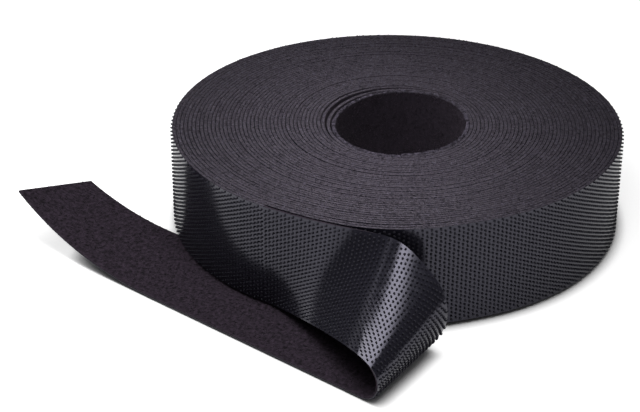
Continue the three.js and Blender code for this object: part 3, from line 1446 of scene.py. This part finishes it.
@dataclass
class Tail:
    """The tail: peeled off the roll, folded over and laid back under it to the curling end."""

    finishes: Finishes
    hooks: HookPattern
    fibres: bpy.types.NodeTree
    foot_leave: EdgeLeave = EdgeLeave(math.radians(0.5), 8 * MM, 6 * MM)
    head_leave: EdgeLeave = EdgeLeave(math.radians(3), 31 * MM, 16 * MM)
    front_fold: float = 5.1 * MM
    rear_fold: float = 10.8 * MM
    fold_sweep: float = math.radians(145)
    rim_to_fold: float = 7.8 * MM
    fold_skew: float = 6.4 * MM
    rim_to_bend: float = 4 * MM
    bend_skew: float = 18 * MM
    curl_radius: float = 64 * MM
    free_length: float = 48 * MM
    end_skew: float = 1 * MM
    bend_reach: float = 5 * MM
    columns: int = 9
    peel_lines: int = 60
    fold_lines: int = 48
    laid_lines: int = 40
    free_lines: int = 32
    pile_lines: int = 40
    free_pile_lines: int = 24
    peeled_pile: YarnGrowth = replace(PILE, density=2.5 / MM**2, seed=21)
    laid_pile: YarnGrowth = PILE

    @property
    def lift(self) -> float:
        """How high the hooks hold the laid film over the place of its solid."""
        return -TAPE.hook_tips

    @property
    def rear_start(self) -> float:
        """Where the fold's rear edge leaves the floor, along the tail."""
        return -(PLACE.half_chord + self.rim_to_fold)

    @property
    def rear_bend(self) -> float:
        """Where the bend meets the rear edge, along the tail."""
        return PLACE.half_chord + self.rim_to_bend

    @property
    def bend_angle(self) -> float:
        """How far the bend turns from square across the tape."""
        return math.atan2(self.bend_skew, TAPE.width)

    @property
    def bend_ways(self) -> tuple[np.ndarray, np.ndarray]:
        """The ways of the bend on the floor.

        Returns:
            The way along the bend, and the way from it to the free end.
        """
        sine, cosine = math.sin(self.bend_angle), math.cos(self.bend_angle)
        line = sine * PLACE.along + cosine * PLACE.across
        away = cosine * PLACE.along - sine * PLACE.across
        return line, away

    def fold_edge(self, start: float, edge: float, radius: float, turned: np.ndarray) -> Edge:
        """Give one edge of the fold.

        Args:
            start: Where the edge leaves the floor, along the tail.
            edge: Its place across the tail.
            radius: Its radius.
            turned: Angles turned from the floor.

        Returns:
            The edge, which heads to the free end.
        """
        points = PLACE.floor_points(
            start - radius * np.sin(turned),
            np.full_like(turned, edge),
            self.lift + radius * (1 - np.cos(turned)),
        )
        ways = np.outer(np.cos(turned), PLACE.along) - np.outer(np.sin(turned), UP)
        return Edge(points, ways)

    def fold_edges(self, turned: np.ndarray) -> tuple[Edge, Edge]:
        """Give both edges of the fold.

        Args:
            turned: Angles turned from the floor.

        Returns:
            The front edge and the rear edge.
        """
        start = self.rear_start
        front = self.fold_edge(
            start - self.fold_skew, PLACE.front_edge, self.front_fold, turned
        )
        return front, self.fold_edge(start, PLACE.rear_edge, self.rear_fold, turned)

    def fold(self, turned: np.ndarray) -> Ribbon:
        """Give the fold at angles turned from the floor."""
        return Ribbon.between(*self.fold_edges(turned))

    def peeled_edge(
        self, height: float, leave: EdgeLeave, top: Edge, shares: np.ndarray
    ) -> Edge:
        """Give one edge of the peeled length, as a curve from the rim to the fold's top.

        Args:
            height: The edge's height on the roll.
            leave: How it leaves the roll.
            top: The edge at the fold's top.
            shares: Places along the curve, from 0 to 1.

        Returns:
            The edge.
        """
        radius = np.array(PLACE.rim_radius)
        free = PLACE.rim(np.array((PLACE.peel_angle + leave.cling,)), radius, height)
        first, last = free.points[0], top.points[0]
        held_run = leave.cling * PLACE.rim_radius
        split = held_run / (held_run + np.linalg.norm(last - first))
        turned = leave.cling * shares[shares < split] / split
        held = PLACE.rim(PLACE.peel_angle + turned, radius, height)
        t = ((shares[shares >= split] - split) / (1 - split))[:, None]
        knots = (
            first,
            first + leave.lead * free.ways[0],
            last - leave.run * top.ways[0],
            last,
        )
        weights = ((1 - t) ** 3, 3 * t * (1 - t) ** 2, 3 * t**2 * (1 - t), t**3)
        points = sum(w * k for w, k in zip(weights, knots))
        slopes = ((1 - t) ** 2, 2 * t * (1 - t), t**2)
        ways = sum(w * (b - a) for w, a, b in zip(slopes, knots, knots[1:]))
        return Edge(
            np.concatenate((held.points, points)), np.concatenate((held.ways, ways))
        )

    def peel(self, shares: np.ndarray) -> Ribbon:
        """Give the peeled length.

        Args:
            shares: Places along it, from 0 at the rim to 1 at the fold's top.

        Returns:
            A ribbon with one line at each place.
        """
        front, rear = self.fold_edges(np.array((self.fold_sweep,)))
        foot = self.peeled_edge(0.0, self.foot_leave, front, shares)
        head = self.peeled_edge(TAPE.width, self.head_leave, rear, shares)
        return Ribbon.between(foot, head)

    def laid(self, shares: np.ndarray) -> Ribbon:
        """Give the laid length.

        Args:
            shares: Places along it, from 0 at the fold to 1 at the bend.

        Returns:
            A ribbon with one line at each place.
        """
        ways = np.repeat(PLACE.along[None], len(shares), axis=0)
        height = np.full_like(shares, self.lift)
        edges = []
        for edge, first, last in (
            (
                PLACE.front_edge,
                self.rear_start - self.fold_skew,
                self.rear_bend - self.bend_skew,
            ),
            (PLACE.rear_edge, self.rear_start, self.rear_bend),
        ):
            places = first + (last - first) * shares
            points = PLACE.floor_points(places, np.full_like(shares, edge), height)
            edges.append(Edge(points, ways))
        return Ribbon.between(*edges)

    def free_edge(self, bend: float, edge: float, lengths: np.ndarray) -> Edge:
        """Give one edge of the free end, which lies on a cylinder beyond the bend.

        Args:
            bend: Where the bend meets the edge, along the tail.
            edge: The edge's place across the tail.
            lengths: Lengths beyond the bend.

        Returns:
            The edge.
        """
        sine, cosine = math.sin(self.bend_angle), math.cos(self.bend_angle)
        line, away = self.bend_ways
        turned = lengths * cosine / self.curl_radius
        start = PLACE.floor_points(np.array(bend), np.array(edge), np.array(self.lift))
        points = (
            start
            + np.outer(lengths * sine, line)
            + np.outer(self.curl_radius * np.sin(turned), away)
            + np.outer(self.curl_radius * (1 - np.cos(turned)), UP)
        )
        rise = np.outer(np.cos(turned), away) + np.outer(np.sin(turned), UP)
        return Edge(points, sine * line + cosine * rise)

    def free_end(self, shares: np.ndarray) -> Ribbon:
        """Give the free end.

        Args:
            shares: Places along it, from 0 at the bend to 1 at its cut edge.

        Returns:
            A ribbon with one line at each place.
        """
        rear_length = self.free_length - self.bend_skew - self.end_skew
        front = self.free_edge(
            self.rear_bend - self.bend_skew, PLACE.front_edge, shares * self.free_length
        )
        rear = self.free_edge(self.rear_bend, PLACE.rear_edge, shares * rear_length)
        return Ribbon.between(front, rear)

    def ribbon(self) -> Ribbon:
        """Give the whole tail.

        Returns:
            A ribbon from the peel line to the cut end.
        """
        return self.peel(np.linspace(0, 1, self.peel_lines)[:-1]).joined(
            self.fold(np.linspace(self.fold_sweep, 0, self.fold_lines)),
            self.laid(np.linspace(0, 1, self.laid_lines)[1:]),
            self.free_end(np.linspace(0, 1, self.free_lines)[1:]),
        )

    def piles(self) -> list[bpy.types.Object]:
        """Grow the loops of the tail.

        Returns:
            The pile of the peeled and folded length, and that of the laid and free length.
        """
        shares = np.linspace(0, 1, self.pile_lines)
        turned = self.peel(shares).joined(
            self.fold(np.linspace(self.fold_sweep, 0, self.pile_lines)[1:])
        )
        shown = self.laid(shares).joined(
            self.free_end(np.linspace(0, 1, self.free_pile_lines)[1:])
        )
        grown_piles = []
        for name, growth, part in (
            ("peeled_pile", self.peeled_pile, turned),
            ("laid_pile", self.laid_pile, shown),
        ):
            face = open_sheet(part, TAPE.loop_face, self.columns)
            grown_piles.append(growth.grow_on(name, face, self.fibres, self.finishes.pile))
        return grown_piles

    def build(self) -> list[bpy.types.Object]:
        """Build and place the tail's pieces.

        Returns:
            Every piece of the tail.
        """
        tape = self.ribbon()
        film = new_piece(
            "tail_film",
            strip_mesh(tape, TAPE.film_face, TAPE.film_back, self.columns),
            self.finishes.film,
        )
        fabric = new_piece(
            "tail_fabric",
            strip_mesh(tape, TAPE.fabric_back, TAPE.loop_face, self.columns),
            self.finishes.tail_knit,
        )
        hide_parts("tail_hook_film", "free_end_hook_film")
        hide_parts("tail_loop_fabric", "free_end_loop_fabric")
        hooks = self.hooks.stand_on("tail_hooks", tape, self.finishes.hooks)
        piles = self.piles()
        for piece in (film, fabric, hooks, *piles):
            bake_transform(piece)
        return [film, fabric, hooks, *piles]


@dataclass(frozen=True)
class SoftBox:
    """A lamp that faces straight down and fades to one of its long sides.

    It hangs with its middle at a place, its length turned from X. Its size is its length and
    width, its level how bright it looks, where 1 is white, and soft the share of its width
    that fades.
    """

    name: str
    place: tuple[float, float, float]
    turn: float
    size: tuple[float, float]
    level: float
    soft: float
    spread: float = math.pi
    mirrored: bool = True

    def hang(self) -> bpy.types.Object:
        """Hang the lamp in the scene, out of the camera's sight.

        Returns:
            The lamp.
        """
        length, width = self.size
        data = bpy.data.lights.new(self.name, "AREA")
        data.shape = "RECTANGLE"
        data.size, data.size_y = length, width
        data.energy = math.pi * length * width * self.level
        data.spread = self.spread
        data.use_nodes = True
        tree = data.node_tree
        spot = add(tree, "ShaderNodeNewGeometry")
        over = add(tree, "ShaderNodeSeparateXYZ", spot.outputs["Parametric"])
        fade = add(tree, "ShaderNodeMapRange", over.outputs["Y"], 0.0, self.soft, 0.0, 1.0)
        tree.links.new(fade.outputs[0], tree.nodes["Emission"].inputs["Strength"])
        lamp = bpy.data.objects.new(self.name, data)
        lamp.location = self.place
        lamp.rotation_euler = (0.0, 0.0, self.turn)
        lamp.visible_camera = False
        lamp.visible_glossy = self.mirrored
        bpy.context.scene.collection.objects.link(lamp)
        return lamp


@dataclass
class Studio:
    """The floor, the lamps and the camera."""

    lens: float = 99.47
    sensor: float = 36.0
    clip_start: float = 10 * MM
    eye: tuple[float, float, float] = (0.411 * MM, -379.733 * MM, 215.9 * MM)
    forward: tuple[float, float, float] = (0.0, 0.8794, -0.4761)
    right: tuple[float, float, float] = (1.0, -0.0027, -0.0051)
    floor_size: float = 8.0
    floor_drop: float = 0.02 * MM
    floor_paint: float = 0.9
    near_glow: float = 0.75
    far_glow: float = 1.0
    glow_start: float = 80 * MM
    glow_end: float = 500 * MM
    # The floor's level as the film mirrors it, dimmed near the roll as painted shade, and how far
    # that shade reaches.
    mirrored_shade_near: float = 0.34
    mirrored_shade_far: float = 0.98
    mirrored_shade_reach: float = 85 * MM
    # The painted contact shadow in the floor's glow: how far it looks for cover, and the
    # occlusion at which it is full and gone.
    contact_shadow_reach: float = 4.5 * MM
    contact_samples: int = 8
    shadow_full: float = 0.45
    shadow_none: float = 0.9
    room_level: float = 0.1
    overhead: SoftBox = SoftBox(
        "overhead_strip",
        place=(-53.7 * MM, 0.7 * MM, 200 * MM),
        turn=math.radians(140.9),
        size=(400 * MM, 76 * MM),
        level=6.4,
        soft=0.5,
    )
    narrow: SoftBox = SoftBox(
        "narrow_strip",
        place=(-1171 * MM, 426 * MM, 1000 * MM),
        turn=math.radians(128.8),
        size=(3700 * MM, 80 * MM),
        level=1.4,
        soft=0.2,
    )
    top_fill: SoftBox = SoftBox(
        "top_fill",
        place=(13 * MM, -12 * MM, 100 * MM),
        turn=math.radians(90),
        size=(120 * MM, 30 * MM),
        level=7.4,
        soft=0.5,
        spread=math.radians(110),
        mirrored=False,
    )

    def camera(self) -> None:
        """Set up the camera of the photograph's view."""
        data = bpy.data.cameras.new("camera")
        data.lens = self.lens
        data.sensor_width = self.sensor
        data.clip_start = self.clip_start
        camera = bpy.data.objects.new("camera", data)
        back = -Vector(self.forward).normalized()
        right = Vector(self.right)
        right = (right - right.project(back)).normalized()
        up = back.cross(right)
        turn = Matrix((right, up, back)).transposed().to_4x4()
        camera.matrix_world = Matrix.Translation(self.eye) @ turn
        bpy.context.scene.collection.objects.link(camera)
        bpy.context.scene.camera = camera

    def floor(self) -> None:
        """Lay a floor that keeps the object's shadow, and is white away from it. Its glow carries
        painted shadow: dimmed where the roll and tail close in over it, and darker near the roll
        where the film mirrors it.
        """
        half = self.floor_size / 2
        corners = [(-half, -half), (half, -half), (half, half), (-half, half)]
        mesh = bpy.data.meshes.new("floor")
        mesh.from_pydata([(x, y, -self.floor_drop) for x, y in corners], [], [(0, 1, 2, 3)])
        material = bpy.data.materials.new("white_floor")
        material.use_nodes = True
        tree = material.node_tree
        tree.nodes.clear()
        paint = add(tree, "ShaderNodeBsdfDiffuse", (*[self.floor_paint] * 3, 1.0))
        rays = add(tree, "ShaderNodeLightPath").outputs
        straight = add(
            tree,
            "ShaderNodeMath",
            rays["Is Camera Ray"],
            rays["Is Transmission Ray"],
            operation="MAXIMUM",
        )
        place = add(tree, "ShaderNodeTexCoord")
        from_axis = add(
            tree,
            "ShaderNodeVectorMath",
            place.outputs["Object"],
            tuple(PLACE.origin),
            operation="DISTANCE",
        )
        # Painted shade in reflections: what the film mirrors of the floor darkens towards the
        # roll.
        share = add(
            tree,
            "ShaderNodeMapRange",
            from_axis.outputs["Value"],
            PLACE.rim_radius,
            PLACE.rim_radius + self.mirrored_shade_reach,
            self.mirrored_shade_near,
            self.mirrored_shade_far,
        )
        mirrored = add(
            tree, "ShaderNodeMath", rays["Is Glossy Ray"], share, operation="MULTIPLY"
        )
        shown = add(tree, "ShaderNodeMath", straight, mirrored, operation="MAXIMUM")
        reach = add(tree, "ShaderNodeVectorMath", place.outputs["Object"], operation="LENGTH")
        spread = add(
            tree,
            "ShaderNodeMapRange",
            reach.outputs["Value"],
            self.glow_start,
            self.glow_end,
            self.near_glow,
            self.far_glow,
        )
        level = add(tree, "ShaderNodeMath", shown, spread, operation="MULTIPLY")
        # Painted contact shadow: the glow dims where the roll and tail close in over the floor,
        # beside the lamps' real shadow on its paint.
        open_sky = add(
            tree,
            "ShaderNodeAmbientOcclusion",
            named={"Distance": self.contact_shadow_reach},
            samples=self.contact_samples,
        )
        clear = add(
            tree,
            "ShaderNodeMapRange",
            open_sky.outputs["AO"],
            self.shadow_full,
            self.shadow_none,
            0.0,
            1.0,
        )
        level = add(tree, "ShaderNodeMath", level, clear, operation="MULTIPLY")
        glow = add(tree, "ShaderNodeEmission", WHITE, level)
        both = add(tree, "ShaderNodeAddShader", paint, glow)
        add(tree, "ShaderNodeOutputMaterial", both)
        new_piece("floor", mesh, material)

    def world(self) -> None:
        """Set a white background over a dim room that lights the object softly."""
        world = bpy.data.worlds.new("studio")
        world.use_nodes = True
        tree = world.node_tree
        tree.nodes.clear()
        rays = add(tree, "ShaderNodeLightPath").outputs
        room = add(tree, "ShaderNodeBackground", WHITE, self.room_level)
        white = add(tree, "ShaderNodeBackground", WHITE, 1.0)
        either = add(tree, "ShaderNodeMixShader", rays["Is Camera Ray"], room, white)
        add(tree, "ShaderNodeOutputWorld", either)
        bpy.context.scene.world = world

    def light_top(self, pieces: list[bpy.types.Object]) -> None:
        """Hang the low lamp over the roll, which lights only some pieces.

        Args:
            pieces: What it lights.
        """
        lit = bpy.data.collections.new("lit_by_top_fill")
        for piece in pieces:
            lit.objects.link(piece)
        self.top_fill.hang().light_linking.receiver_collection = lit

    def build(self) -> None:
        """Set up the view, the floor and the light."""
        bpy.context.scene.view_settings.view_transform = "Standard"
        self.camera()
        self.floor()
        self.world()
        self.overhead.hang()
        self.narrow.hang()


def report(pieces: list[bpy.types.Object]) -> None:
    """Log each piece and its count of triangles.

    Args:
        pieces: The pieces, in order.
    """
    for piece in pieces:
        count = sum(len(p.vertices) - 2 for p in piece.data.polygons)
        LOG.info("%s: %d triangles", piece.name, count)


def main() -> None:
    """Build the roll, its tail and the studio."""
    logging.basicConfig(level=logging.INFO, format="%(name)s %(message)s")
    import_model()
    studio = Studio()
    studio.build()
    finishes = Finishes.made()
    hooks = HookPattern()
    fibres = fibre_tree()
    roll = Winding(finishes, hooks, fibres).build()
    tail = Tail(finishes, hooks, fibres).build()
    report(roll + tail)
    top = (finishes.wound_knit, finishes.fringe)
    studio.light_top([piece for piece in roll if piece.active_material in top])


if __name__ == "__main__":
    main()
